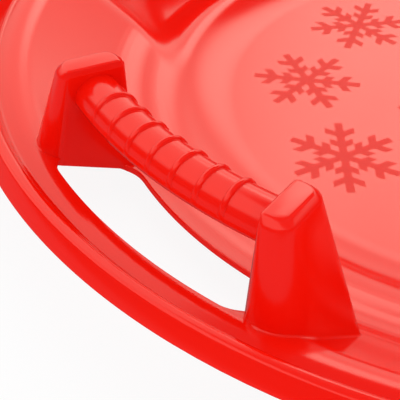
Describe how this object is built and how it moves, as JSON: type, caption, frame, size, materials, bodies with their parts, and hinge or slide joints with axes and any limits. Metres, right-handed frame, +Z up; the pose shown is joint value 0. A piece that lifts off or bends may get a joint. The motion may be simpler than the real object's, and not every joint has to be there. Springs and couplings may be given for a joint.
{
  "type": "saucer sled",
  "caption": "Round red moulded saucer sled with a rolled lip, raised ringed hand grips over slots, and footwells front and rear.",
  "frame": {"origin": "centre of the seat floor's underside, on the ground", "axes": "+Z up along the dish's axis, -X towards the front footwell, -Y towards the left grip"},
  "size_m": [0.5899, 0.59, 0.089],
  "materials": {
    "red_shell": "gloss"
  },
  "bodies": {
    "root": {"seat_floor": "red_shell", "seat_ring": "red_shell", "rim_lip": "red_shell", "front_footwell": "red_shell", "rear_footwell": "red_shell", "left_side_wall": "red_shell", "right_side_wall": "red_shell", "left_rear_post": "red_shell", "left_front_post": "red_shell", "right_front_post": "red_shell", "right_rear_post": "red_shell", "left_grip_bar": "red_shell", "right_grip_bar": "red_shell"}
  },
  "joints": []
}
